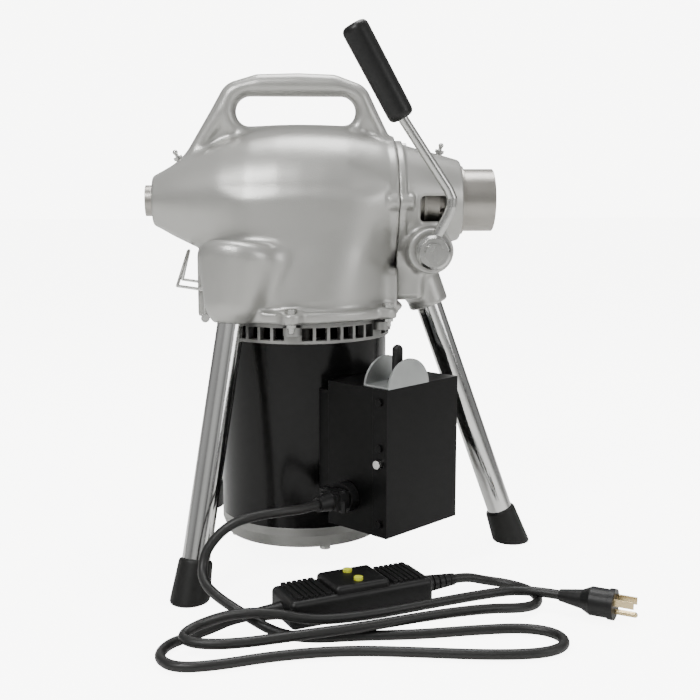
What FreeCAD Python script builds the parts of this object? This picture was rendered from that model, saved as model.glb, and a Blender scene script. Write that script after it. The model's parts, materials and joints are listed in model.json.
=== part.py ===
import FreeCAD, Part
import math, os
V = FreeCAD.Vector

# ---- driving dimensions, millimetres; X along the spindle to the nose, Z up ----
OX = 41.162            # motor axis lies this far behind the middle of the machine
ZS = 352.0           # spindle height
BORE_R = 12.5        # cable bore through the spindle
CAN_R = 82.5         # motor can radius (6.5 in motor)
LEG_R = 12.7         # 1 in leg tube
CORD_D = 8.6
HEAD = [(-145,23.5),(-138,27),(-125,35),(-110,42),(-80,57),(-52,67.5),(-4,71),(41,68.5),(75,60),(90,54.5)]
CAVITY = [(-104,31),(-78,47),(-52,58),(-4,62),(41,60),(70,53),(90,46)]
FEET = {"front_left": (V(-107,-147,0), V(-68.7,-76.1,241.8)),
        "rear_left": (V(-107,147,0), V(-68.7,76.1,241.8)),
        "right": (V(215,0,0), V(125.4,0,251.5))}
PIVOT = (119.0, 306.0)     # lever pivot, X and Z
BOX_ANGLE = -47.55         # switch box direction about Z
N_RING, N_PINION = 46, 16
BOLT_ANGLES = [math.radians(a) for a in (-98, -35, 37, 100)]
SHIFT = V(-OX, 0, 0)
os.makedirs("parts", exist_ok=True)
SOLIDS = {}

def cyl(r, h, p, d=(0,0,1)):
    return Part.makeCylinder(r, h, V(*p), V(*d))
def cone(r1, r2, h, p, d=(0,0,1)):
    return Part.makeCone(r1, r2, h, V(*p), V(*d))
def ring(r1, r2, h, p, d=(0,0,1)):
    return cyl(r2, h, p, d).cut(cyl(r1, h, p, d))
def box(x0,x1,y0,y1,z0,z1):
    return Part.makeBox(x1-x0, y1-y0, z1-z0, V(x0,y0,z0))
def rev_x(pts, z=ZS):
    w = Part.makePolygon([V(x,0,z+r) for x, r in pts] + [V(pts[0][0],0,z+pts[0][1])])
    return Part.Face(w).revolve(V(0,0,z), V(1,0,0), 360)
def prism(pts, y0, y1):
    w = Part.makePolygon([V(x,y0,z) for x, z in pts] + [V(pts[0][0],y0,pts[0][1])])
    return Part.Face(w).extrude(V(0,y1-y0,0))
def fuse(*s):
    a = s[0]
    return a.multiFuse(list(s[1:])).removeSplitter() if len(s) > 1 else a
def cut(a, *s):
    return a.cut(list(s)) if len(s) > 1 else a.cut(s[0])
def keep(name, shape):
    s = shape.copy()
    SOLIDS[name] = s
def boxframe(s):
    s = s.copy()
    s.rotate(V(0,0,0), V(0,0,1), BOX_ANGLE)
    return s
def rod(points, r):
    # bent rod: cylinders with balls at the bends
    out = []
    for a, b in zip(points, points[1:]):
        a, b = V(*a), V(*b)
        out.append(Part.makeCylinder(r, (b-a).Length, a, b-a))
    for p in points[1:-1]:
        out.append(Part.makeSphere(r, V(*p)))
    return fuse(*out)

# ---- legs, feet ----
leg_solid = {}
for n, (a, b) in FEET.items():
    d = (b-a).normalize()
    top = a + d*((292.0 if n == "right" else 287.0)/d.z)
    low = a + d*7.0
    L = (top-low).Length
    solid = Part.makeCylinder(LEG_R, L, low, d)
    leg_solid[n] = solid
    keep("leg_"+n, solid.cut(Part.makeCylinder(LEG_R-1.6, L, low, d)))
    f = Part.makeCone(18.6, 15.0, 50.0, a-d*12.0, d)
    f = f.cut(solid).cut(box(-400,400,-400,400,-60,0))
    keep("foot_"+n, f)

# ---- main housing ----
head = rev_x([(-145,0)] + HEAD + [(90,0)])
barrel = Part.Face(Part.makePolygon([V(-100,y,z) for y,z in ((-89,242),(89,242),(89,262),(66,350),(-66,350),(-89,262),(-89,242))])).extrude(V(200,0,0))
neck = cyl(87.0, 110.0, (0,0,242)).common(barrel)
flange = cyl(95.0, 10.0, (0,0,242))
outer = [(-108,396),(-93,426),(-78,456.5),(-64,466),(-46,472),(-4,474),(33,472),(54,466),(65,454.5),(80,426),(93,402),(80,380),(-80,380)]
handle = prism(outer, -5.5, 5.5)
grip = prism([(-86,440),(-78,456.5),(-64,466),(-46,472),(-4,474),(33,472),(54,466),(65,454.5),(74,438),(52,451.4),(-62,451.4)], -14, 14)
post_l = prism([(-108,396),(-86,440),(-78,456.5),(-64,451.4),(-64,424),(-78,396)], -10, 10)
post_r = prism([(93,402),(74,438),(65,454.5),(52.3,451.4),(52.3,424),(70,396)], -10, 10)
hole = prism([(-63.6,432),(-58,423),(46,423),(52.3,432),(52.3,442),(44,451.4),(-55,451.4),(-63.6,442)], -30, 30)
rear_block = box(-102,-80,-30,30,237,305).cut(cyl(87.2,6,(0,0,236.9)))
sockets = []
for n in ("front_left", "rear_left"):
    a, b = FEET[n]; d = (b-a).normalize()
    p = a + d*(246.0/d.z)
    s = Part.makeCone(19.0, 27.0, 52.0, p, d)
    sockets.append(s.cut(box(-300,300,-300,300,200,242.0)))
ears = [cyl(9, 10, (95*math.cos(t), 95*math.sin(t), 242)) for t in BOLT_ANGLES]
seam_bosses = [cyl(6.5, 10, (80, 51*math.cos(t), ZS+51*math.sin(t)), (1,0,0)) for t in (math.radians(a) for a in (0,90,180,250,290))]
main = fuse(head, neck, flange, handle, grip, post_l, post_r, rear_block, *sockets, *ears, *seam_bosses)
main = cut(main, hole, box(90,110,-40,40,240,410).cut(cyl(108,20,(0,0,236))))
cav = rev_x([(-104,0)] + CAVITY + [(90,0)])
neck_cav = fuse(cyl(70, 60, (0,0,254)), cone(70, 58, 40, (0,0,314)))
main = cut(main, cav, neck_cav, cyl(28.0, 12.01, (-116,0,ZS), (1,0,0)), cyl(15.6, 40, (-150,0,ZS), (1,0,0)),
           cyl(17.6, 12, (0,0,242)), leg_solid["front_left"], leg_solid["rear_left"])

for t in BOLT_ANGLES:
    main = main.cut(cyl(3.0, 10, (97*math.cos(t), 97*math.sin(t), 242)))

# ---- front housing ----
fh = rev_x([(90,0),(90,57),(97,57),(98,54),(154,39),(154,0)])
boss = cyl(21.6, 80, (PIVOT[0],-66,PIVOT[1]), (0,1,0))
ra, rb = FEET["right"]; rd = (rb-ra).normalize()
rsock = Part.makeCylinder(19.6, 70.0, ra + rd*(248.0/rd.z), rd)
fh = fuse(fh, boss, rsock, box(104.8,114,-14,14,250,300))
fh = cut(fh, box(60,90,-120,120,200,400),
         rev_x([(99,0),(99,46.5),(150,33.5),(150,0)]),
         cyl(28.0, 12, (87,0,ZS), (1,0,0)),
         cyl(28.0, 5, (149.9,0,ZS), (1,0,0)),
         cyl(6.3, 60, (PIVOT[0],-67,PIVOT[1]), (0,1,0)),
         box(102.5,135.5,-26,8,299.5,330),
         box(111,138,-80,-20,333,357),
         leg_solid["right"])
fh = fuse(fh, ring(28.0, 33.0, 3.0, (87,0,ZS), (1,0,0)))
# seam screws pass through the flange of the front housing into the bosses
screws = []
for a in (0,90,180,250,290):
    t = math.radians(a)
    c = (51*math.cos(t), ZS+51*math.sin(t))
    fh = fh.cut(cyl(2.5, 12, (89,c[0],c[1]), (1,0,0)))
    fh = fh.cut(cyl(5.0, 20, (97,c[0],c[1]), (1,0,0)))
    main = main.cut(cyl(2.5, 12, (80,c[0],c[1]), (1,0,0)))
    screws.append(fuse(cyl(2.5, 17, (80,c[0],c[1]), (1,0,0)), cyl(4.6, 5, (97,c[0],c[1]), (1,0,0))))
keep("seam_screws", Part.makeCompound(screws))
keep("main_housing", main)

spigot = fuse(cyl(28.0, 8, (146,0,ZS), (1,0,0)), cyl(30.5, 30, (157,0,ZS), (1,0,0)), cyl(33.5, 3, (154,0,ZS), (1,0,0))).cut(cyl(BORE_R+1.5, 60, (140,0,ZS), (1,0,0)))
fh = fh.cut(cyl(28.0, 10, (145,0,ZS), (1,0,0)))
keep("front_housing", fh)
keep("nose_spigot", spigot)
keep("motor_flange_bolts", Part.makeCompound([fuse(cyl(3.0, 18, (97*math.cos(t), 97*math.sin(t), 234)), Part.Face(Part.makePolygon([V(97*math.cos(t)+5.8*math.cos(k*math.pi/3), 97*math.sin(t)+5.8*math.sin(k*math.pi/3), 252) for k in range(7)])).extrude(V(0,0,4.5)), cyl(5.0, 3.0, (97*math.cos(t), 97*math.sin(t), 239))) for t in BOLT_ANGLES]))

# grease fittings
def zerk(p, d):
    p, d = V(*p), V(*d).normalize()
    return fuse(Part.makeCylinder(3.2, 5, p, d), Part.makeCylinder(4.4, 3, p+d*3, d), Part.makeCylinder(1.8, 5, p+d*5, d), Part.makeSphere(2.6, p+d*10.5))
zr = (-118, 0, ZS+37.0); z1 = zerk(zr, (-0.45,0,0.9)).cut(main)
zf = (134, 0, ZS+43.0); z2 = zerk(zf, (0.25,0,0.97)).cut(fh)
def biggest(s):
    return max(s.Solids, key=lambda q: q.Volume)
keep("grease_fitting_rear", biggest(z1))
keep("grease_fitting_front", biggest(z2))

# ---- spindle, bearings, ring gear, clutch ----
spin = fuse(cyl(15, 253, (-152,0,ZS), (1,0,0)), cyl(24, 44, (101,0,ZS), (1,0,0)))
spin = cut(spin, cyl(BORE_R, 320, (-160,0,ZS), (1,0,0)))
jaws = []
JAW0, JAW1, TAPER = 111.4, 138.6, 2.8/26.0
def sleeve_r(x):
    return 26.2 + TAPER*(x-106.0)
for k, a in enumerate((90, 210, 330)):
    slot = box(111,139,-4.6,4.6,ZS+8,ZS+40)
    slot.rotate(V(0,0,ZS), V(1,0,0), a-90)
    spin = spin.cut(slot)
    j = rev_x([(JAW0,14.3),(JAW0,sleeve_r(JAW0)-0.3),(JAW1,sleeve_r(JAW1)-0.3),(JAW1,14.3)])
    b = box(110,140,-4.2,4.2,ZS+5,ZS+45)
    j = j.common(b)
    j.rotate(V(0,0,ZS), V(1,0,0), a-90)
    keep("clutch_jaw_%d" % (k+1), j)
keep("spindle", spin)
keep("spindle_bearing_rear", ring(15.06, 28, 12, (-116,0,ZS), (1,0,0)))
keep("spindle_bearing_front", ring(15.06, 28, 12, (87,0,ZS), (1,0,0)))
keep("spindle_collar", ring(15, 20, 6, (-103.5,0,ZS), (1,0,0)))
sl = rev_x([(106,26.2),(106,31.5),(108.4,31.5),(108.4,35.5),(111.4,35.5),(111.4,31.5),(116.2,31.5),(116.2,35.5),(119.2,35.5),(119.2,31.5),(132,31.5),(132,29.0)])
keep("clutch_sleeve", sl)

PITCH_A, PITCH_B = 52.0, 52.0*N_PINION/N_RING     # ring and pinion pitch radii
FACE = 0.7276
def tooth(axis_r, axial, half_root, half_tip, add, ded, k):
    # wedge tooth with every face through the cone apex at the origin; axis Z, large end at -axial
    L = math.hypot(axis_r, axial)
    n = V(axial/L, 0, axis_r/L)
    P = V(axis_r, 0, -axial)
    q = [P - n*ded + V(0,-half_root,0), P - n*ded + V(0,half_root,0), P + n*add + V(0,half_tip,0), P + n*add + V(0,-half_tip,0)]
    w1 = Part.makePolygon(q+[q[0]]); s = [v*FACE for v in q]; w2 = Part.makePolygon(s+[s[0]])
    return Part.makeLoft([w1, w2], True, True)
# pinion: axis Z, apex at spindle axis; its teeth point away from its own axis
def cone_body(r, ax, ded, bore, back):
    L = math.hypot(r, ax); n = V(ax/L, 0, r/L)
    P = V(r,0,-ax) - n*(ded-0.25)
    Q = P*FACE
    w = Part.makePolygon([V(bore,0,P.z-back), V(P.x,0,P.z-back), P, Q, V(bore,0,Q.z), V(bore,0,P.z-back)])
    return Part.Face(w).revolve(V(0,0,0), V(0,0,1), 360)
def gear(r, ax, count, offset, bore, back):
    body = cone_body(r, ax, 2.5, bore, back)
    tt = []
    for i in range(count):
        t = tooth(r, ax, 2.1, 0.7, 1.6, 3.4, 1)
        t.rotate(V(0,0,0), V(0,0,1), offset + i*360.0/count)
        tt.append(t)
    return body.multiFuse(tt).removeSplitter()
pin = gear(PITCH_B, PITCH_A, N_PINION, 360.0/N_PINION/2, 8.0, 8.0)
pin.translate(V(0,0,ZS))
rg = gear(PITCH_A, PITCH_B, N_RING, 0.0, 15.0, 10.0)
# turn the ring's axis from Z to X: large end (-Z side) goes to +X, tooth 0 points down
rg.rotate(V(0,0,0), V(0,1,0), -90)
rg.rotate(V(0,0,0), V(1,0,0), 180 if rg.BoundBox.ZMax > 0 and False else 0)
rg.translate(V(0,0,ZS))
keep("bevel_pinion", pin)
keep("bevel_ring_gear", rg)

# ---- lever ----
px, pz = PIVOT
keep("pivot_shaft", fuse(cyl(6.0, 63, (px,-81,pz), (0,1,0)),
     box(px-4,px+4,-24,-18,pz,pz+12.5).fuse(cyl(4,6,(px,-24,pz+9.8),(0,1,0))).common(cyl(13.9,6,(px,-24,pz),(0,1,0))),
     cyl(2.0, 24, (px,-18,pz+12), (0,1,0))))
SOLIDS["pivot_shaft"].rotate(V(px,0,pz), V(0,1,0), -25)
hub = fuse(cyl(16.0, 15, (px,-83,pz), (0,1,0)), cone(13.5, 16.0, 3, (px,-86,pz), (0,1,0)), cyl(9, 6, (px,-91,pz), (0,1,0)))
lev = rod([(px,-76,pz),(123,-78,323),(131,-79.5,338),(135,-80,348),(135.5,-80,356),(132,-80,364),(90.7,-80,426),(58,-80,486)], 4.75)
shaft_core = cyl(6.0, 63, (px,-81,pz), (0,1,0))
hub = cut(hub, shaft_core)
lev = biggest(lev.cut(fuse(cyl(16.0, 18, (px,-84,pz), (0,1,0)), shaft_core)))
hub = hub.cut(cyl(16.5, 3, (px,-69,pz), (0,1,0)))
keep("lever_hub", hub)
keep("lever_rod", lev)
ga, gb = V(90.7,-80,426), V(49,-80,501.5)
gd = (gb-ga).normalize(); ga = ga + gd*2.0
g = fuse(Part.makeCylinder(12.5, (gb-ga).Length, ga, gd), Part.makeSphere(12.5, gb)).cut(rod([(90.7-gd.x*30,-80,426-gd.z*30),(90.7,-80,426),(58,-80,486)], 4.75))
keep("lever_grip", biggest(g))

# ---- motor ----
keep("motor_can", ring(CAN_R-2.5, CAN_R, 178, (0,0,44)))
vr = ring(77.0, 85.5, 20, (0,0,222))
wins = []
for i in range(40):
    a = -98 + i*9.0
    if i in (0, 15, 22, 7):
        continue
    w = box(70, 95, -5.2, 5.2, 225, 237)
    w.rotate(V(0,0,0), V(0,0,1), a)
    wins.append(w)
vr = vr.cut(wins)
lugs = [cyl(8.5, 8, (90*math.cos(t), 90*math.sin(t), 231)) for t in BOLT_ANGLES]
vr = fuse(vr, *lugs).cut(cyl(77.0, 20, (0,0,222)))
vr = fuse(vr, ring(60, 86, 0.01+3.0, (0,0,239)).cut(cyl(60,5,(0,0,238)))).common(cyl(120, 20, (0,0,222)))
vr = vr.cut([fuse(cyl(3.0, 10, (97*math.cos(t), 97*math.sin(t), 234)), cyl(5.0, 3.0, (97*math.cos(t), 97*math.sin(t), 239))) for t in BOLT_ANGLES])
keep("motor_vent_ring", vr)
bell = Part.Face(Part.makePolygon([V(30,0,24),V(78,0,24),V(82.5,0,36),V(82.5,0,44),V(77,0,44),V(77,0,38),V(74,0,30),V(30,0,30),V(30,0,24)])).revolve(V(0,0,0), V(0,0,1), 360)
bell = fuse(bell, ring(17, 30.0, 14, (0,0,24)), cyl(30.0, 2, (0,0,22)))
bell_bolts = []
for k in range(4):
    t = math.radians(-75 + 90*k)
    c = (70*math.cos(t), 70*math.sin(t))
    bell = fuse(bell, cyl(6.5, 14, (c[0], c[1], 24))).cut(cyl(2.5, 30, (c[0], c[1], 20)))
    bell_bolts.append(fuse(cyl(2.5, 20, (c[0], c[1], 20)), cyl(5.2, 4.5, (c[0], c[1], 19.5))))
keep("motor_end_bell", bell)
keep("end_bell_bolts", Part.makeCompound(bell_bolts))
keep("motor_stator", ring(47, 80, 74, (0,0,96)))
keep("motor_rotor", ring(8, 45.5, 70, (0,0,98)))
keep("motor_shaft", cyl(8, 292, (0,0,25.5)))
keep("motor_bearing_lower", ring(8.06, 17, 12, (0,0,26)))
keep("motor_bearing_upper", ring(8.06, 17.6, 12, (0,0,242)))
blades = []
for i in range(10):
    b = box(13, 62, -1.2, 1.2, 190, 208)
    b.rotate(V(0,0,0), V(0,0,1), i*36.0)
    blades.append(b)
fan = fuse(ring(8, 16, 20, (0,0,188)), ring(16, 62, 2.5, (0,0,188)), *blades).cut(cyl(8,40,(0,0,180)))
keep("motor_fan", fan)

# ---- wire bail ----
bail = rod([(-95,-33.2,245),(-95,-33.2,268),(-121,-33.2,272),(-112,-6,303),(-112,6,303),(-121,33.2,272),(-95,33.2,268),(-95,33.2,245)], 1.5)
keep("wire_bail", bail.cut(main))
keep("bail_screws", Part.makeCompound([cyl(4.5, 3, (-95, s*33-1.5, 240)) for s in (-1, 1)]))
SOLIDS["bail_screws"] = Part.makeCompound([cyl(4.2, 2.2, (-95,-32.2,240.4),(0,1,0)), cyl(4.2, 2.2, (-95,30.0,240.4),(0,1,0))])
SOLIDS["wire_bail"] = biggest(SOLIDS["wire_bail"].cut(SOLIDS["bail_screws"]))

# ---- switch box, in its own frame: x outward, y along the cover ----
keep("box_saddle", boxframe(box(62,84,-46,46,75,180).cut(cyl(CAN_R,200,(0,0,40)))))
shell = box(84,140,-49.5,49.5,54,190).cut(box(86,140,-47.5,47.5,56,188))
cover = box(140,157,-50,50,54,190).cut(box(140,155,-47.5,47.5,56,188))
clamp_c = (110.0, 85.0)
shell = shell.cut(cyl(9.0, 4, (clamp_c[0],-50,clamp_c[1]), (0,1,0)))
TY, TU = -20.0, 143.0
thole = cyl(8.5, 8, (TU, TY, 184))
shell = shell.cut(thole); cover = cover.cut(thole)
nub_hole = cyl(4.3, 4, (148.5,-51,122), (0,1,0))
cover = cover.cut(nub_hole)
scr = []
for s in (-1, 1):
    for z in (66, 136, 178):
        y0 = -52 if s < 0 else 50
        scr.append(cyl(3.4, 2.0, (148.5, y0, z), (0,1,0)))
keep("switch_box", boxframe(shell))
keep("switch_box_cover", boxframe(cover))
keep("box_screws", boxframe(Part.makeCompound(scr)))
sw = fuse(box(131,152,TY-16,TY+16,150,186.0), cyl(8.5, 9, (TU,TY,186)))
sw = sw.cut(fuse(cyl(6.2, 14, (TU,TY,182)), cyl(5.0,2,(TU,TY,180.5))))
keep("switch_body", boxframe(sw))
keep("toggle_lever", boxframe(fuse(cone(3.2, 3.4, 12, (TU,TY,183.5)), cone(3.4, 4.9, 5, (TU,TY,195.5)), cyl(4.9, 21, (TU,TY,200.5)), Part.makeSphere(4.9, V(TU,TY,221.5)), cyl(2.0, 11, (TU-5.5,TY,188.7), (1,0,0)))))
ear = cyl(28.2, 2, (127,TY,186.8), (1,0,0)).common(box(120,160,TY-28,TY+28,192,240))
ear2 = cyl(28.2, 2, (155,TY,186.8), (1,0,0)).common(box(120,160,TY-28,TY+28,192,240))
gd_ = fuse(box(127,157,TY-27.5,TY+27.5,190,192), ear, ear2).cut(cyl(9.3, 10, (TU,TY,188)))
keep("toggle_guard", boxframe(gd_))
keep("capacitor", boxframe(cyl(16, 72, (104,-26,73), (0,1,0))))
keep("box_reset_button", boxframe(fuse(cyl(4.0, 7.5, (148.5,-54.5,122), (0,1,0)), cyl(4.0, 0.1, (148.5,-47.1,122), (0,1,0)))))
cl = fuse(cyl(8.9, 5, (110,-52,85), (0,1,0)), cyl(14, 10, (110,-60,85), (0,1,0)), box(99,121,-76,-60,78,92), cyl(9.0,16,(110,-76,85),(0,1,0)), box(96,124,-73,-63,86.5,94.5), cyl(3.0,20,(99.5,-68,76)), cyl(3.0,20,(120.5,-68,76)), cone(6.6, 8.6, 14, (110,-90,85), (0,1,0)))
keep("cord_clamp", boxframe(cl.cut(box(84,140,-49.5,49.5,54,190).cut(cyl(9.0,4,(110,-50,85),(0,1,0))))))

# ---- ground fault interrupter lying on the floor ----
GC, GA = V(37,-181,0), 22.0
def gframe(s):
    s = s.copy(); s.rotate(V(0,0,0), V(0,0,1), GA); s.translate(GC); return s
def rbox(x0,x1,y0,y1,z0,z1,r):
    b = box(x0,x1,y0,y1,z0,z1)
    return b.makeFillet(r, b.Edges)
gb_ = fuse(rbox(-68,68,-24,24,2,27,5), rbox(-26,26,-22,22,6,33,4), box(-60,-30,-20,20,24,29.5), box(30,60,-20,20,24,29.5))
grooves = [box(x,x+1.6,-26,26,27.6,40) for x in (-56,-51,-46,-41,-36,34,39,44,49,54)]
gb_ = gb_.cut(grooves)
for y in (-11, 11):
    gb_ = gb_.cut(cyl(4.3, 6, (0,y,28.5)))
keep("gfci_body", gframe(gb_))
keep("gfci_test_button", gframe(cyl(4.0, 5.2, (0,-11,30.2))))
keep("gfci_reset_button", gframe(cyl(4.0, 5.2, (0,11,30.2))))
keep("gfci_relief_in", gframe(cone(7.5, 5.2, 28, (-68,0,13), (-1,0,0))))
rr = fuse(cone(8.2, 5.4, 34, (68,0,13), (1,0,0)))
for i in range(5):
    rr = rr.cut(ring(5.6-0.15*i, 12, 1.6, (72+6*i,0,13), (1,0,0)))
keep("gfci_relief_out", gframe(rr))

# ---- plug ----
PC, PA = V(218,-191,0), -31.5
def pframe(s):
    s = s.copy(); s.rotate(V(0,0,0), V(0,0,1), PA); s.translate(PC); return s
pz0 = 14.0
pb = fuse(cone(5.3, 8.5, 20, (0,0,pz0), (1,0,0)), cone(8.5, 12.5, 8, (20,0,pz0), (1,0,0)), cyl(12.5, 16, (28,0,pz0), (1,0,0)), cyl(13.5, 5, (44,0,pz0), (1,0,0)))
keep("plug_body", pframe(pb))
keep("plug_blades", pframe(Part.makeCompound([box(49,66,-7.1,-5.6,pz0+1,pz0+7.3), box(49,66,5.6,7.1,pz0+1,pz0+7.3), fuse(cyl(2.4, 17, (49,0,pz0-6.0), (1,0,0)), Part.makeSphere(2.4, V(66,0,pz0-6.0)))])))

# ---- cords: straight runs with tangent arcs ----
g_in = GC + V(math.cos(math.radians(GA)), math.sin(math.radians(GA)), 0)*(-96)
g_out = GC + V(math.cos(math.radians(GA)), math.sin(math.radians(GA)), 0)*(102)
clamp_tip = boxframe(Part.Vertex(V(110,-90,85))).Point
CORD_A = [(clamp_tip.x,clamp_tip.y,clamp_tip.z),(-5.0,-153.65,85),(-24,-165,86.5),(-47,-173,86),(-70,-177,80),(-88,-181,62),(-93,-186,46),(-91,-198,36),(-80,-214,30),
          (-58,-233,22),(-30,-246,9),(-2,-248,4.8),(35,-245,4.8),(85,-246,4.8),(135,-240,4.8),(178,-238,4.8),(202,-252,4.8),(203,-276,4.8),(180,-290,4.8),
          (135,-289,4.8),(80,-280,4.8),(25,-273,4.8),(-30,-279,4.8),(-78,-294,4.8),(-108,-296,4.8),(-123,-278,4.8),(-119,-254,4.8),(-102,-238,4.8),
          (-83,-229.5,8),(-66,-222.6,13.0),(g_in.x,g_in.y,13.0)]
CORD_B = [(g_out.x,g_out.y,13.0),(144.6,-137.5,13.0),(162,-131.8,7),(184,-136,4.8),(202,-155,4.8),(203,-182,4.8),(186,-204,8),(148,-217,14),(98,-230,14.5),(42,-250,14.5),
          (-14,-264,14.5),(-62,-277,14.5),(-94,-275,14.5),(-107,-261,15),(-94,-248,19),(-66,-246,27),(-34,-245,27),(0,-241,17),(46,-227,14.5),
          (98,-206,14.5),(148,-187,14.5),(190,-173.8,14.0),(218,-191,14.0)]

def route(name, pts, d):
    P = [V(*p) for p in pts]
    edges, cur, rmin = [], P[0], 1e9
    for i in range(1, len(P)-1):
        a, b = (P[i]-P[i-1]), (P[i+1]-P[i])
        la, lb = a.Length, b.Length
        a = a.normalize(); b = b.normalize()
        turn = math.acos(max(-1, min(1, a.dot(b))))
        if turn < 1e-3:
            continue
        t = 0.45*min(la, lb)
        R = t/math.tan(turn/2); rmin = min(rmin, R)
        s, e = P[i]-a*t, P[i]+b*t
        n = (b-a).normalize()
        c = P[i] + n*(R/math.cos(turn/2))
        m = c - n*R
        edges.append(Part.makeLine(cur, s)); edges.append(Part.Arc(s, m, e).toShape()); cur = e
    edges.append(Part.makeLine(cur, P[-1]))
    w = Part.Wire(edges)
    circle = Part.Wire([Part.makeCircle(d/2, P[0], (P[1]-P[0]).normalize())])
    tube = w.makePipeShell([circle], True, False)
    L = w.Length
    print(name, "length %.0f mm, smallest radius %.1f mm, volume ratio %.4f" % (L, rmin, tube.Volume/(math.pi*d*d/4*L)))
    return tube
keep("cord_to_interrupter", route("cord_to_interrupter", CORD_A, CORD_D))
keep("cord_to_plug", route("cord_to_plug", CORD_B, CORD_D))

# ---- write every piece in the shared frame ----
LOOSE = ("cord_", "gfci_", "plug_")
bb = FreeCAD.BoundBox()
for n, s in SOLIDS.items():
    if n.startswith(LOOSE) and n != "cord_clamp":
        continue
    bb.add(s.optimalBoundingBox(True, False))
print("machine box", [round(v,2) for v in (bb.XMin,bb.XMax,bb.YMin,bb.YMax,bb.ZMin,bb.ZMax)], "middle", round(bb.Center.x,3), round(bb.Center.y,3))
for n, s in SOLIDS.items():
    s = s.copy(); s.translate(SHIFT)
    ok = s.isValid()
    print("%-24s solids %d volume %.0f %s" % (n, len(s.Solids), s.Volume, "" if ok else "INVALID"))
    if len(s.Solids) == 1:
        s = s.Solids[0]
    s.exportStep("parts/%s.step" % n)
print(len(SOLIDS), "pieces")
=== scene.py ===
import bpy, math, json
import numpy as np
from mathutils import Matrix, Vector


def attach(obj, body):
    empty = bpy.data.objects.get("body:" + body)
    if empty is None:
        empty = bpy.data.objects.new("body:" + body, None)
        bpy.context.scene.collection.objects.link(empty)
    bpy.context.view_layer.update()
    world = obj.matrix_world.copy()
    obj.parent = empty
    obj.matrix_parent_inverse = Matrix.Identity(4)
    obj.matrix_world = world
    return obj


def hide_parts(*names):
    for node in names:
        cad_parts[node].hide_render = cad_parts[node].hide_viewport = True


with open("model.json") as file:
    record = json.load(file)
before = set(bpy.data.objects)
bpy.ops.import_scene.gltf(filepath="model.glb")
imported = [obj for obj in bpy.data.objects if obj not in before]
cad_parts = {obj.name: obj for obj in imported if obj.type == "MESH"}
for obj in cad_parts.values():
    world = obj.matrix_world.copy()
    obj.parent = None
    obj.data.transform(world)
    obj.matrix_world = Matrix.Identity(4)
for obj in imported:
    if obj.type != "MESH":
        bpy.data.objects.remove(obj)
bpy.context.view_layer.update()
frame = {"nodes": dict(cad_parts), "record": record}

OX = 41.162
ZS = 352.0
def W(p):
    return ((p[0]-OX)/1000.0, p[1]/1000.0, p[2]/1000.0)

# ------------------------------------------------------------------ materials
def material(name, color, rough, metal=0.0, bump=0.0, scale=400.0, vary=0.06, spec=0.5, bevel=0.0006, coat=0.0, occlusion_shade=0.0, stretch=None, rough_vary=0.08):
    m = bpy.data.materials.new(name); m.use_nodes = True
    nt = m.node_tree; n = nt.nodes; l = nt.links
    p = n["Principled BSDF"]
    tc = n.new("ShaderNodeTexCoord")
    src = tc.outputs["Object"]
    if stretch:
        mp = n.new("ShaderNodeMapping"); mp.inputs["Scale"].default_value = stretch
        l.new(src, mp.inputs["Vector"]); src = mp.outputs["Vector"]
    big = n.new("ShaderNodeTexNoise"); big.inputs["Scale"].default_value = 22.0; big.inputs["Detail"].default_value = 6.0
    l.new(tc.outputs["Object"], big.inputs["Vector"])
    ramp = n.new("ShaderNodeValToRGB"); e = ramp.color_ramp.elements
    e[0].position = 0.3; e[1].position = 0.72
    e[0].color = tuple(max(0.0, c*(1-vary)) for c in color) + (1,)
    e[1].color = tuple(min(1.0, c*(1+vary)) for c in color) + (1,)
    l.new(big.outputs["Fac"], ramp.inputs["Fac"])
    out = ramp.outputs["Color"]
    # painted shade: base colour is darkened by ambient occlusion in recesses, creases and between parts; this
    # parameter sets how deep
    if occlusion_shade > 0:
        ao = n.new("ShaderNodeAmbientOcclusion"); ao.samples = 6; ao.inputs["Distance"].default_value = 0.012
        mr = n.new("ShaderNodeMapRange"); mr.inputs["From Min"].default_value = 0.35; mr.inputs["From Max"].default_value = 0.95
        mr.inputs["To Min"].default_value = 1.0-occlusion_shade; mr.inputs["To Max"].default_value = 1.0
        l.new(ao.outputs["AO"], mr.inputs["Value"])
        mix = n.new("ShaderNodeVectorMath"); mix.operation = "SCALE"
        l.new(out, mix.inputs[0]); l.new(mr.outputs["Result"], mix.inputs["Scale"])
        out = mix.outputs["Vector"]
    l.new(out, p.inputs["Base Color"])
    fine = n.new("ShaderNodeTexNoise"); fine.inputs["Scale"].default_value = scale; fine.inputs["Detail"].default_value = 3.0
    l.new(src, fine.inputs["Vector"])
    rr = n.new("ShaderNodeMapRange"); rr.inputs["To Min"].default_value = max(0.02, rough-rough_vary); rr.inputs["To Max"].default_value = min(1.0, rough+rough_vary)
    l.new(fine.outputs["Fac"], rr.inputs["Value"]); l.new(rr.outputs["Result"], p.inputs["Roughness"])
    p.inputs["Metallic"].default_value = metal
    p.inputs["Specular IOR Level"].default_value = spec
    if coat:
        p.inputs["Coat Weight"].default_value = coat; p.inputs["Coat Roughness"].default_value = 0.12
    nrm = None
    if bevel:
        bv = n.new("ShaderNodeBevel"); bv.samples = 4; bv.inputs["Radius"].default_value = bevel; nrm = bv.outputs["Normal"]
    if bump:
        bp = n.new("ShaderNodeBump"); bp.inputs["Strength"].default_value = bump; bp.inputs["Distance"].default_value = 0.0004
        l.new(fine.outputs["Fac"], bp.inputs["Height"])
        if nrm: l.new(nrm, bp.inputs["Normal"])
        nrm = bp.outputs["Normal"]
    if nrm: l.new(nrm, p.inputs["Normal"])
    return m

# cast_paint and end_aluminium get painted ambient-occlusion shade in their recesses through the occlusion_shade
# strength
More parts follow.
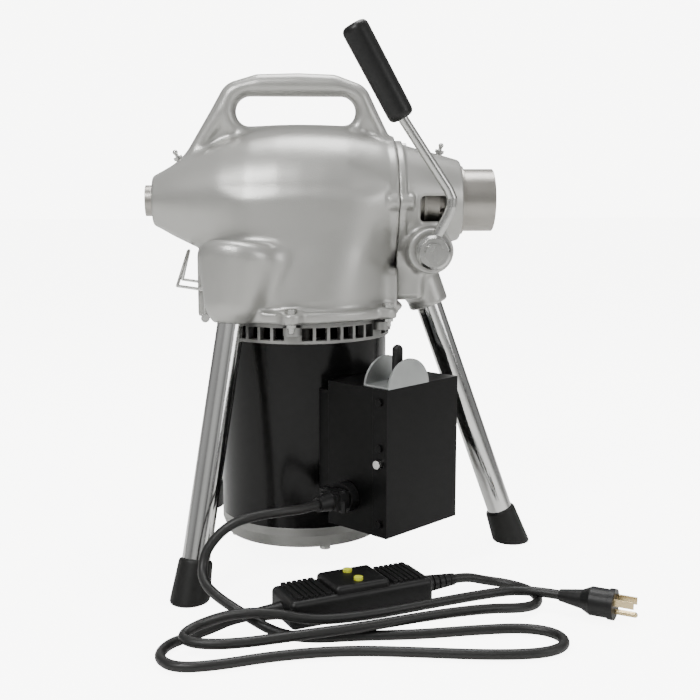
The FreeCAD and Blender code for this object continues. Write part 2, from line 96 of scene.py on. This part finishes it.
M = {
 "cast": material("cast_paint", (0.41,0.408,0.390), 0.35, metal=0.6, bump=0.35, scale=900.0, vary=0.03, occlusion_shade=0.35, bevel=0.0, coat=0.15),
 "steel": material("turned_steel", (0.37,0.355,0.33), 0.34, metal=1.0, bump=0.25, scale=260.0, stretch=(10.0,0.4,0.4), vary=0.08),
 "zinc": material("zinc_plate", (0.52,0.52,0.505), 0.25, metal=1.0, bump=0.03, scale=500.0, vary=0.08),
 "guard": material("guard_zinc", (0.40,0.415,0.41), 0.38, metal=0.9, bump=0.25, scale=160.0, vary=0.15, rough_vary=0.12),
 "chrome": material("leg_chrome", (0.66,0.66,0.65), 0.12, metal=1.0, bump=0.06, scale=300.0, stretch=(3.0,3.0,0.05), vary=0.04, rough_vary=0.06),
 "alu": material("end_aluminium", (0.30,0.30,0.29), 0.44, metal=0.75, bump=0.3, scale=700.0, vary=0.05, occlusion_shade=0.5),
 "can": material("motor_black", (0.003,0.003,0.003), 0.22, bump=0.05, scale=120.0, spec=0.18, coat=0.08, vary=0.2),
 "black": material("box_black", (0.0025,0.0025,0.0025), 0.36, bump=0.12, scale=500.0, spec=0.12, vary=0.2),
 "rubber": material("rubber_black", (0.006,0.006,0.0055), 0.5, bump=0.25, scale=700.0, spec=0.3, vary=0.15),
 "grip": material("grip_rubber", (0.005,0.005,0.005), 0.40, bump=0.12, scale=350.0, spec=0.35, vary=0.15),
 "plastic": material("moulded_black", (0.006,0.006,0.006), 0.42, bump=0.20, scale=900.0, spec=0.32, vary=0.12),
 "cord": material("cord_jacket", (0.010,0.010,0.0095), 0.42, bump=0.30, scale=1400.0, spec=0.4, vary=0.15, bevel=0.0),
 "button": material("button_yellow", (0.62,0.66,0.04), 0.35, bump=0.05, vary=0.05),
 "brass": material("brass_pin", (0.66,0.53,0.30), 0.28, metal=1.0, bump=0.1, scale=300.0),
 "iron": material("dark_iron", (0.10,0.10,0.10), 0.55, metal=0.7, bump=0.4, scale=500.0),
 "bail": material("bail_wire", (0.66,0.66,0.64), 0.25, metal=1.0, bump=0.05, scale=400.0),
 "label": material("blank_label", (0.55,0.55,0.54), 0.40, metal=0.3, bump=0.1, scale=500.0),
}
SLOT = {"cast":"cast","black":"black","can_black":"can","chrome":"chrome","steel":"steel","alu":"alu","zinc":"zinc","rubber":"rubber","plastic":"plastic","button":"button","iron":"iron","brass":"brass","cord":"cord"}
node_slot = {s["node"]: s["material_slot"] for s in frame["record"]["subparts"]}
special = {"lever_grip":"grip","toggle_guard":"guard","wire_bail":"bail","box_screws":"black","toggle_lever":"rubber"}
for name, o in frame["nodes"].items():
    m = M[special.get(name, SLOT[node_slot[name]])]
    if len(o.material_slots) == 0:
        o.data.materials.append(m)
    for s in o.material_slots:
        s.material = m

# ------------------------------------------------------------------ castings from a blended distance field
def smin(a, b, k):
    h = np.clip(0.5 + 0.5*(b-a)/k, 0, 1)
    return b*(1-h) + a*h - k*h*(1-h)
def smax(a, b, k):
    return -smin(-a, -b, k)
def table_fn(pts, blur):
    xs = np.linspace(pts[0][0], pts[-1][0], 400)
    r = np.interp(xs, [p[0] for p in pts], [p[1] for p in pts])
    n = max(1, int(blur/(xs[1]-xs[0])))
    ker = np.hanning(2*n+3); ker /= ker.sum()
    pad = np.pad(r, n+1, mode="reflect", reflect_type="odd")
    r = np.convolve(pad, ker, mode="valid")
    return xs, r
def revolve(x, y, z, pts, x0, x1, blur=9.0, k=2.0):
    xs, r = table_fn(pts, blur)
    R = np.interp(x, xs, r); G = np.interp(x, xs, np.gradient(r, xs))
    d = (np.sqrt(y*y + (z-ZS)**2) - R)/np.sqrt(1+G*G)
    return smax(smax(d, x0-x, k), x-x1, k)
def cylz(x, y, z, cx, cy, r, z0, z1, k=1.5):
    return smax(smax(np.hypot(x-cx, y-cy)-r, z0-z, k), z-z1, k)
def cylx(x, y, z, cy, cz, r, x0, x1, k=1.0):
    return smax(smax(np.hypot(y-cy, z-cz)-r, x0-x, k), x-x1, k)
def cyly(x, y, z, cx, cz, r, y0, y1, k=1.5):
    return smax(smax(np.hypot(x-cx, z-cz)-r, y0-y, k), y-y1, k)
def rbox(x, y, z, lo, hi, r):
    c = [(a+b)/2 for a, b in zip(lo, hi)]; s = [(b-a)/2-r for a, b in zip(lo, hi)]
    q = [np.abs(v-c[i])-s[i] for i, v in enumerate((x, y, z))]
    return np.sqrt(sum(np.maximum(v, 0)**2 for v in q)) + np.minimum(np.maximum(q[0], np.maximum(q[1], q[2])), 0) - r
def poly2(x, z, P):
    d = np.full(x.shape, 1e9); s = np.ones(x.shape)
    n = len(P)
    for i in range(n):
        ax, az = P[i]; bx, bz = P[i-1]
        ex, ez = bx-ax, bz-az; wx, wz = x-ax, z-az
        t = np.clip((wx*ex+wz*ez)/(ex*ex+ez*ez), 0, 1)
        d = np.minimum(d, (wx-ex*t)**2 + (wz-ez*t)**2)
        c1 = z >= az; c2 = z < bz; c3 = ex*wz > ez*wx
        s = np.where((c1 & c2 & c3) | (~c1 & ~c2 & ~c3), -s, s)
    return s*np.sqrt(d)
def along(x, y, z, a, b, t0, t1, r0, r1, k=2.0):
    a = np.array(a, float); b = np.array(b, float); u = (b-a)/np.linalg.norm(b-a)
    px, py, pz = x-a[0], y-a[1], z-a[2]
    t = px*u[0]+py*u[1]+pz*u[2]
    rad = np.sqrt(np.maximum(px*px+py*py+pz*pz-t*t, 0))
    R = r0 + (r1-r0)*np.clip((t-t0)/(t1-t0), 0, 1)
    return smax(smax(rad-R, t0-t, k), t-t1, k)
def extrude_y(d2, y, h, r):
    a = d2 + r; b = np.abs(y) - h + r
    return np.minimum(np.maximum(a, b), 0) + np.hypot(np.maximum(a, 0), np.maximum(b, 0)) - r

LEGS = {"fl": ((-107,-147,0), (-68.7,-76.1,241.8)), "rl": ((-107,147,0), (-68.7,76.1,241.8)), "r": ((215,0,0), (125.4,0,251.5))}
HEAD = [(-145,23.5),(-138,27),(-125,34.5),(-110,42),(-80,56.5),(-52,66),(-25,70),(-4,71),(20,70.5),(41,68.5),(75,60),(90,54.5)]
HANDLE = [(-98,376),(-58.5,445),(-40,450.5),(-4,451.6),(28,450.5),(46,444),(79,374)]
BOLTS = [math.radians(a) for a in (-98, -35, 37, 100)]
def f_main(x, y, z):
    head = revolve(x, y, z, HEAD, -145, 90, 9.0, 3.0)
    t = np.clip((z-262)/88.0, 0, 1)
    barrel = (np.abs(y) - (89-23*t))
    neck = smax(smax(smax(np.hypot(x, y)-86.5, barrel, 14.0), 242-z, 1.0), z-352, 8.0)
    d = smin(head, neck, 17.0)
    for n in ("fl", "rl"):
        d = smin(d, along(x, y, z, *LEGS[n], 249, 326, 20.5, 45.0, 20.0), 12.0)
    d = smin(d, rbox(x, y, z, (-102,-30,238), (-74,30,304), 5.0), 6.0)
    d = smin(d, rbox(x, y, z, (60,-40,246), (96,40,288), 7.0), 9.0)
    fl = cylz(x, y, z, 0, 0, 95.0, 242, 252, 2.0)
    for a in BOLTS:
        fl = smin(fl, cylz(x, y, z, 95*math.cos(a), 95*math.sin(a), 10.0, 242, 252.0, 2.0), 6.0)
    d = smin(d, fl, 5.0)
    # handle: a thick rounded bar over a thinner web at the feet
    hp = poly2(x, z, HANDLE) - 22.0
    hx = np.abs(x+5.7); hz = np.abs(z-437.0)
    ho = np.hypot(np.maximum(hx-43.5, 0), np.maximum(hz-0.2, 0)) - 14.4
    plate = smax(hp, -ho, 6.0)
    tz = np.clip((z-404)/34.0, 0, 1)
    bar = extrude_y(plate, y, 14.0, 11.0)
    web = extrude_y(plate, y, 6.0, 3.0)
    rim = extrude_y(np.abs(hp+7.0)-7.0, y, 11.0, 6.5)
    rim2 = extrude_y(np.maximum(np.abs(ho-6.0)-6.0, hp), y, 11.0, 5.5)
    low = smin(smin(web, rim, 3.0), rim2, 3.0)
    hnd = bar*tz + low*(1-tz)
    d = smin(d, hnd, 9.0)
    # seam ring and its bosses
    d = smin(d, cylx(x, y, z, 0, ZS, 57.0, 84.0, 90.0, 1.5), 3.0)
    for a in (90, 180, 250, 290):
        a = math.radians(a)
        d = smin(d, cylx(x, y, z, 54.5*math.cos(a), ZS+54.5*math.sin(a), 7.5, 79.0, 90.0, 2.5), 4.0)
    # machined face at the rear end, spindle hole
    d = smax(d, -cylx(x, y, z, 0, ZS, 15.9, -160, -100, 0.5), 0.8)
    cav = revolve(x, y, z, [(-104,31),(-78,47),(-52,58),(-4,62),(41,60),(70,53),(92,46)], -104, 95, 4.0, 1.0)
    cav = np.minimum(cav, cylz(x, y, z, 0, 0, 68.0, 254, 336, 6.0))
    cav = np.minimum(cav, cylx(x, y, z, 0, ZS, 28.0, -116, -100, 0.5))
    cav = np.minimum(cav, cylz(x, y, z, 0, 0, 17.8, 230, 260, 0.5))
    d = np.maximum(d, -cav)
    for n in ("fl", "rl"):
        d = smax(d, -along(x, y, z, *LEGS[n], 200, 303, 12.9, 12.9, 0.5), 1.0)
    # flat faces that meet the motor and the front casting
    d = np.maximum(d, 242.0-z)
    d = np.maximum(d, np.minimum(x-90.0, z-253.0))
    d = np.maximum(d, z-473.9)
    return d
def f_front(x, y, z):
    d = revolve(x, y, z, [(88,56.2),(99,54.0),(110,51),(125,47),(140,43),(154,39)], 90, 154, 3.0, 2.5)
    d = smin(d, cylx(x, y, z, 0, ZS, 57.0, 90.0, 96.5, 1.2), 3.0)
    d = smin(d, cyly(x, y, z, 119, 306, 21.4, -66, 14, 2.5), 9.0)
    d = smin(d, along(x, y, z, *LEGS["r"], 264, 330, 19.6, 19.6, 3.0), 10.0)
    d = smin(d, rbox(x, y, z, (86,-30,256), (116,22,304), 6.0), 9.0)
    d = smin(d, cylx(x, y, z, -52.5, ZS, 7.2, 90.0, 104.0, 3.0), 3.0)
    for a in (90, 250, 290):
        a = math.radians(a)
        d = smax(d, -cylx(x, y, z, 51*math.cos(a), ZS+51*math.sin(a), 5.4, 97.0, 118.0, 0.6), 1.0)
        d = smin(d, cylx(x, y, z, 51*math.cos(a), ZS+51*math.sin(a), 6.6, 90.0, 96.9, 1.2), 2.0)
    cav = revolve(x, y, z, [(96,47.0),(150,33.5),(152,33.0)], 99, 150, 1.0, 1.0)
    cav = np.minimum(cav, cylx(x, y, z, 0, ZS, 28.0, 80, 160, 0.5))
    cav = np.minimum(cav, rbox(x, y, z, (102.5,-26,299.5), (135.5,8,330), 1.0))
    cav = np.minimum(cav, cyly(x, y, z, 119, 306, 6.4, -80, -10, 0.3))
    d = smax(d, -cav, 0.8)
    d = smax(d, -rbox(x, y, z, (111,-90,333), (138,-20,357), 4.0), 2.5)
    d = smax(d, -along(x, y, z, *LEGS["r"], 200, 312, 12.9, 12.9, 0.5), 1.2)
    d = np.maximum(d, 90.0-x)
    d = np.maximum(d, x-154.0)
    return d

def surface(name, f, lo, hi, h, mat, body, replaces):
    n = [int(math.ceil((b-a)/h))+1 for a, b in zip(lo, hi)]
    ax = [lo[i]+h*np.arange(n[i]) for i in range(3)]
    X, Y, Z = np.meshgrid(*ax, indexing="ij")
    F = f(X, Y, Z)
    S = F < 0
    c = [S[i:n[0]-1+i, j:n[1]-1+j, k:n[2]-1+k] for i in (0,1) for j in (0,1) for k in (0,1)]
    tot = sum(v.astype(np.int8) for v in c)
    cell = (tot > 0) & (tot < 8)
    idx = -np.ones(cell.shape, np.int64); ids = np.argwhere(cell); idx[cell] = np.arange(len(ids))
    acc = np.zeros((len(ids), 3)); cnt = np.zeros(len(ids))
    I, J, K = ids.T
    for a in range(3):
        for u in (0, 1):
            for v in (0, 1):
                o0 = [0,0,0]; others = [q for q in range(3) if q != a]
                o0[others[0]] = u; o0[others[1]] = v
                o1 = list(o0); o1[a] = 1
                A = F[I+o0[0], J+o0[1], K+o0[2]]; B = F[I+o1[0], J+o1[1], K+o1[2]]
                m = (A < 0) != (B < 0)
                t = np.where(m, A/(A-B+1e-12*(A == B)), 0)
                p = np.array(o0, float)[None, :].repeat(len(ids), 0); p[:, a] = t
                acc += p*m[:, None]; cnt += m
    P = np.array(lo)[None, :] + h*(ids + acc/np.maximum(cnt, 1)[:, None])
    for _ in range(3):
        e = 0.25
        f0 = f(P[:,0], P[:,1], P[:,2])
        g = np.stack([(f(P[:,0]+e*(q==0), P[:,1]+e*(q==1), P[:,2]+e*(q==2)) - f0)/e for q in range(3)], 1)
        g2 = np.maximum((g*g).sum(1), 0.2)
        step = -(f0/g2)[:, None]*g
        L = np.linalg.norm(step, axis=1, keepdims=True)
        P += step*np.minimum(1.0, 0.6*h/np.maximum(L, 1e-9))
    faces = []
    for a in range(3):
        b, d = (a+1) % 3, (a+2) % 3
        s0 = [slice(None)]*3; s1 = [slice(None)]*3
        s0[a] = slice(0, n[a]-1); s1[a] = slice(1, n[a])
        ch = S[tuple(s0)] != S[tuple(s1)]
        w = np.argwhere(ch)
        w = w[(w[:, b] > 0) & (w[:, b] < n[b]-1) & (w[:, d] > 0) & (w[:, d] < n[d]-1)]
        q = []
        for (ob, od) in ((0,0),(-1,0),(-1,-1),(0,-1)):
            v = w.copy(); v[:, b] += ob; v[:, d] += od
            q.append(idx[v[:,0], v[:,1], v[:,2]])
        q = np.stack(q, 1)
        flip = ~S[w[:,0], w[:,1], w[:,2]]
        q[flip] = q[flip][:, ::-1]
        faces.append(q)
    Q = np.concatenate(faces)
    P = (P - np.array([OX, 0, 0]))/1000.0
    me = bpy.data.meshes.new(name)
    me.vertices.add(len(P)); me.vertices.foreach_set("co", P.astype(np.float32).ravel())
    me.loops.add(Q.size); me.loops.foreach_set("vertex_index", Q.astype(np.int32).ravel())
    me.polygons.add(len(Q)); me.polygons.foreach_set("loop_start", (np.arange(len(Q))*4).astype(np.int32))
    me.update(calc_edges=True); me.validate()
    ob = bpy.data.objects.new(name, me); bpy.context.scene.collection.objects.link(ob)
    for o in bpy.context.selected_objects: o.select_set(False)
    ob.select_set(True); bpy.context.view_layer.objects.active = ob
    bpy.ops.object.shade_auto_smooth(angle=math.radians(42))
    for md in list(ob.modifiers):
        bpy.ops.object.modifier_apply(modifier=md.name)
    me.materials.append(mat)
    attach(ob, body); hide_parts(replaces)
    return ob
H = 2.0
surface("head_casting", f_main, (-152,-116,234), (96,116,480), H, M["cast"], "frame", "main_housing")
surface("front_casting", f_front, (84,-72,240), (160,64,416), 1.6, M["cast"], "frame", "front_housing")

def f_grip(x, y, z):
    a, b = (89.7,-80.0,427.6), (49.0,-80.0,501.5)
    d = along(x, y, z, a, b, 0.0, 95.0, 12.1, 12.7, 7.0)
    return np.maximum(d, -along(x, y, z, a, b, -20.0, 70.0, 4.8, 4.8, 0.3))
surface("grip_sleeve", f_grip, (30,-96,408), (108,-64,518), 1.5, M["grip"], "lever", "lever_grip")
def foot(n):
    a, b = LEGS[n]
    def f(x, y, z):
        d = along(x, y, z, a, b, -14.0, 38.0, 19.0, 15.2, 4.0)
        d = smax(d, -z, 3.0)
        return np.maximum(d, -along(x, y, z, a, b, 7.0, 60.0, 12.75, 12.75, 0.2))
    return f
for n, node in (("fl","foot_front_left"), ("rl","foot_rear_left"), ("r","foot_right")):
    c = LEGS[n][0]
    surface("rubber_"+node, foot(n), (c[0]-30,c[1]-30,-2), (c[0]+30,c[1]+30,46), 1.5, M["rubber"], "frame", node)

# ------------------------------------------------------------------ cords
CORD_A = [(7.83,-141.92,85),(-5.0,-153.65,85),(-24,-165,86.5),(-47,-173,86),(-70,-177,80),(-88,-181,62),(-93,-186,46),(-91,-198,36),(-80,-214,30),
          (-58,-233,22),(-30,-246,9),(-2,-248,4.8),(35,-245,4.8),(85,-246,4.8),(135,-240,4.8),(178,-238,4.8),(202,-252,4.8),(203,-276,4.8),(180,-290,4.8),
          (135,-289,4.8),(80,-280,4.8),(25,-273,4.8),(-30,-279,4.8),(-78,-294,4.8),(-108,-296,4.8),(-123,-278,4.8),(-119,-254,4.8),(-102,-238,4.8),
          (-83,-229.5,8),(-66,-222.6,13.0),(-52.01,-216.96,13.0)]
CORD_B = [(131.57,-142.79,13.0),(144.6,-137.5,13.0),(162,-131.8,7),(184,-136,4.8),(202,-155,4.8),(203,-182,4.8),(186,-204,8),(148,-217,14),(98,-230,14.5),(42,-250,14.5),
          (-14,-264,14.5),(-62,-277,14.5),(-94,-275,14.5),(-107,-261,15),(-94,-248,19),(-66,-246,27),(-34,-245,27),(0,-241,17),(46,-227,14.5),
          (98,-206,14.5),(148,-187,14.5),(190,-173.8,14.0),(218,-191,14.0)]
def cord(name, pts, node):
    cu = bpy.data.curves.new(name, "CURVE"); cu.dimensions = "3D"
    sp = cu.splines.new("NURBS"); sp.points.add(len(pts)-1)
    for q, p in zip(sp.points, pts):
        q.co = (*W(p), 1.0)
    sp.order_u = 3; sp.use_endpoint_u = True; sp.resolution_u = 12
    cu.bevel_depth = 0.0043; cu.bevel_resolution = 6; cu.use_fill_caps = True
    ob = bpy.data.objects.new(name, cu); bpy.context.scene.collection.objects.link(ob)
    cu.materials.append(M["cord"])
    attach(ob, "frame"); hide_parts(node)
    return ob
cord("cord_first", CORD_A, "cord_to_interrupter")
cord("cord_second", CORD_B, "cord_to_plug")

# ------------------------------------------------------------------ floor, light, camera
fm = bpy.data.materials.new("pale_floor"); fm.use_nodes = True
def camera_only(nt, low, high):
    lp = nt.nodes.new("ShaderNodeLightPath"); mr = nt.nodes.new("ShaderNodeMapRange")
    mr.inputs["To Min"].default_value = low; mr.inputs["To Max"].default_value = high
    nt.links.new(lp.outputs["Is Camera Ray"], mr.inputs["Value"])
    return mr.outputs["Result"]
fp = fm.node_tree.nodes["Principled BSDF"]
fp.inputs["Base Color"].default_value = (0.93,0.93,0.915,1)
fp.inputs["Roughness"].default_value = 0.75
fp.inputs["Specular IOR Level"].default_value = 0.15
fp.inputs["Emission Color"].default_value = (1.0,1.0,0.985,1)
fm.node_tree.links.new(camera_only(fm.node_tree, 0.0, 7.0), fp.inputs["Emission Strength"])
def sheet(name, co, faces):
    me = bpy.data.meshes.new(name); me.from_pydata(co, [], faces); me.materials.append(fm)
    ob = bpy.data.objects.new(name, me); bpy.context.scene.collection.objects.link(ob)
sheet("floor", [(-8,-8,-0.0004),(8,-8,-0.0004),(8,8,-0.0004),(-8,8,-0.0004)], [(0,1,2,3)])

sc = bpy.context.scene
w = bpy.data.worlds.new("studio"); sc.world = w; w.use_nodes = True
wt = w.node_tree; bg = wt.nodes["Background"]
tc = wt.nodes.new("ShaderNodeTexCoord"); sx = wt.nodes.new("ShaderNodeSeparateXYZ"); wt.links.new(tc.outputs["Generated"], sx.inputs["Vector"])
side = wt.nodes.new("ShaderNodeValToRGB"); e = side.color_ramp.elements
stops = [(0.0,0.75),(0.16,0.10),(0.26,0.85),(0.42,1.0),(0.56,0.55),(0.66,0.05),(0.76,0.9),(0.9,0.12),(1.0,0.5)]
e[0].position, e[0].color = stops[0][0], (stops[0][1],)*3 + (1,)
e[1].position, e[1].color = stops[-1][0], (stops[-1][1],)*3 + (1,)
for pos, v in stops[1:-1]:
    q = e.new(pos); q.color = (v, v, v*0.985, 1)
half = wt.nodes.new("ShaderNodeMapRange"); half.inputs["From Min"].default_value = -1.0; wt.links.new(sx.outputs["X"], half.inputs["Value"])
wt.links.new(half.outputs["Result"], side.inputs["Fac"])
up = wt.nodes.new("ShaderNodeMapRange"); up.inputs["From Min"].default_value = 0.1; up.inputs["From Max"].default_value = 0.75
wt.links.new(sx.outputs["Z"], up.inputs["Value"])
mx = wt.nodes.new("ShaderNodeMix"); mx.data_type = "RGBA"; mx.inputs["B"].default_value = (1.0,0.998,0.985,1)
wt.links.new(up.outputs["Result"], mx.inputs["Factor"]); wt.links.new(side.outputs["Color"], mx.inputs["A"])
bg.inputs["Strength"].default_value = 0.62; wt.links.new(mx.outputs["Result"], bg.inputs["Color"])
bc = wt.nodes.new("ShaderNodeBackground"); bc.inputs["Color"].default_value = (1.0,1.0,0.985,1); bc.inputs["Strength"].default_value = 8.0
ms = wt.nodes.new("ShaderNodeMixShader"); lp = wt.nodes.new("ShaderNodeLightPath")
wt.links.new(lp.outputs["Is Camera Ray"], ms.inputs["Fac"]); wt.links.new(bg.outputs["Background"], ms.inputs[1]); wt.links.new(bc.outputs["Background"], ms.inputs[2])
wt.links.new(ms.outputs["Shader"], wt.nodes["World Output"].inputs["Surface"])
def area(name, loc, target, size, power, sy=None):
    L = bpy.data.lights.new(name, "AREA"); L.energy = power; L.size = size
    if sy: L.shape = "RECTANGLE"; L.size_y = sy
    o = bpy.data.objects.new(name, L); sc.collection.objects.link(o)
    o.location = loc; o.rotation_euler = (Vector(target)-Vector(loc)).to_track_quat("-Z", "Y").to_euler()
area("key", (-0.9,-1.4,1.7), (0,0,0.25), 0.7, 34)
area("fill", (1.5,-1.1,0.8), (0,0,0.25), 0.8, 9)
area("top", (0.1,0.4,1.9), (0,0,0.3), 0.9, 26)
cam = bpy.data.cameras.new("camera"); co = bpy.data.objects.new("camera", cam); sc.collection.objects.link(co)
co.location = ((-30.2-OX)/1000, -1.1215, 0.3813)
co.rotation_euler = (math.radians(90-9.0225), 0, math.radians(-3.9358))
cam.sensor_width = 36.0; cam.lens = 58.22
sc.camera = co
